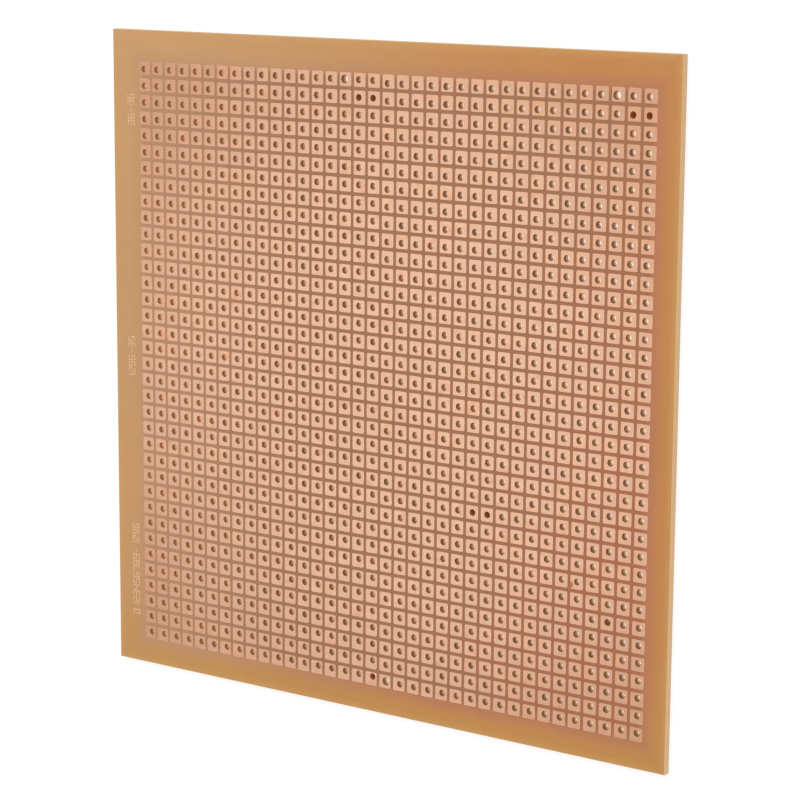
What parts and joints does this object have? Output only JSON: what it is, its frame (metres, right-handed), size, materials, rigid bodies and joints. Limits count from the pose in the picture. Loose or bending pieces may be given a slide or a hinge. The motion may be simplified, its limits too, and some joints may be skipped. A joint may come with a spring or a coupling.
{
  "type": "prototype board",
  "caption": "Square paper-phenolic sheet with a close grid of punched lead holes, each ringed on one side by its own square copper pad.",
  "frame": {"origin": "middle of the sheet's plain underside", "axes": "+Z out of the copper side, +X across the columns, +Y up the rows; the two wider margins are at -X and +Y"},
  "size_m": [0.1, 0.1, 0.0012],
  "materials": {
    "laminate": "satin paper-phenolic laminate",
    "copper": "bare etched copper foil, satin"
  },
  "bodies": {
    "root": {"laminate": "laminate", "pad_row_01": "copper", "pad_row_02": "copper", "pad_row_03": "copper", "pad_row_04": "copper", "pad_row_05": "copper", "pad_row_06": "copper", "pad_row_07": "copper", "pad_row_08": "copper", "pad_row_09": "copper", "pad_row_10": "copper", "pad_row_11": "copper", "pad_row_12": "copper", "pad_row_13": "copper", "pad_row_14": "copper", "pad_row_15": "copper", "pad_row_16": "copper", "pad_row_17": "copper", "pad_row_18": "copper", "pad_row_19": "copper", "pad_row_20": "copper", "pad_row_21": "copper", "pad_row_22": "copper", "pad_row_23": "copper", "pad_row_24": "copper", "pad_row_25": "copper", "pad_row_26": "copper", "pad_row_27": "copper", "pad_row_28": "copper", "pad_row_29": "copper", "pad_row_30": "copper", "pad_row_31": "copper", "pad_row_32": "copper", "pad_row_33": "copper", "pad_row_34": "copper", "pad_row_35": "copper", "pad_row_36": "copper", "numbers": "copper"}
  },
  "joints": []
}
